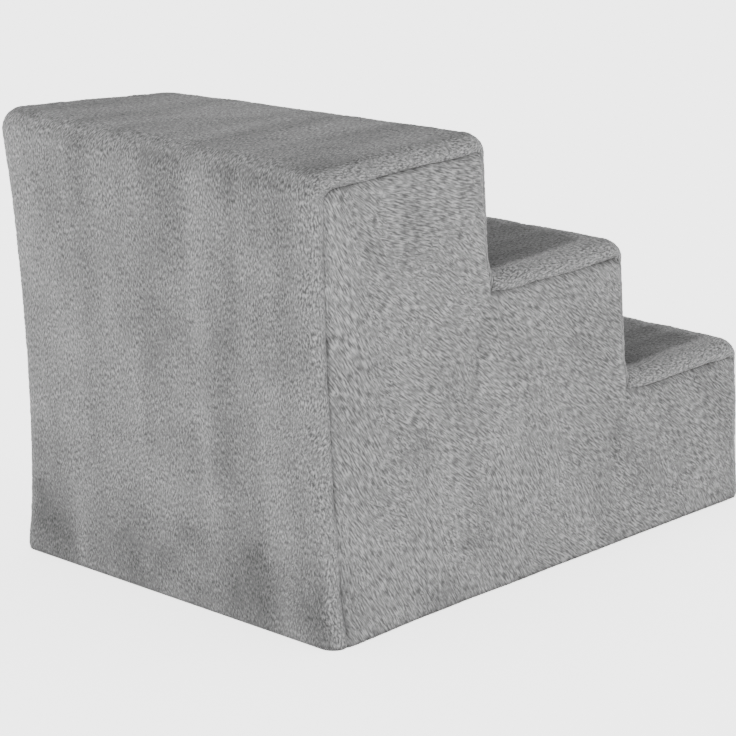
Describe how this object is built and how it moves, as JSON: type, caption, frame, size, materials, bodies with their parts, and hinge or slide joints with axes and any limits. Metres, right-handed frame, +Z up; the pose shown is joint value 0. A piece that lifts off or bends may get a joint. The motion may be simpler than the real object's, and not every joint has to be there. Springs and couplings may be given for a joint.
{
  "type": "pet stairs",
  "caption": "Three-step foam stairs for a small dog or cat, in a zip-off short-pile plush cover with a non-slip base.",
  "frame": {"origin": "on the floor, under the middle of the stairs' bounding box", "axes": "+Z up, +X from the tall rear face towards the low front step, +Y to the left side"},
  "size_m": [0.52, 0.404, 0.4],
  "materials": {
    "plush": "matte",
    "foam": "matte",
    "non_slip": "matte",
    "zip_tape": "matte",
    "zip_coil": "satin",
    "zip_metal": "satin"
  },
  "bodies": {
    "stairs": {"foam_lower_slab": "foam", "foam_middle_slab": "foam", "foam_upper_slab": "foam", "cover_back_top_panel": "plush", "cover_middle_step_panel": "plush", "cover_lower_step_panel": "plush", "cover_side_right": "plush", "cover_side_left": "plush", "base_panel": "non_slip", "base_border": "non_slip", "zip_tape_outer": "zip_tape", "zip_tape_inner": "zip_tape", "zip_coil_outer": "zip_coil", "zip_coil_inner": "zip_coil", "zip_top_stop_outer": "zip_metal", "zip_top_stop_inner": "zip_metal", "zip_bottom_stop": "zip_metal"},
    "slider": {"zip_slider": "zip_metal"},
    "pull": {"zip_pull": "zip_metal"}
  },
  "joints": [
    {"name": "zip_slide", "type": "slide", "parent": "stairs", "child": "slider", "axis": [-1, 0, 0], "range_m": [0, 0.35]},
    {"name": "pull_hinge", "type": "hinge", "parent": "slider", "child": "pull", "pos_m": [0.1855, -0.172, 0.0032], "axis": [0, -1, 0], "range_deg": [0, 180]}
  ]
}
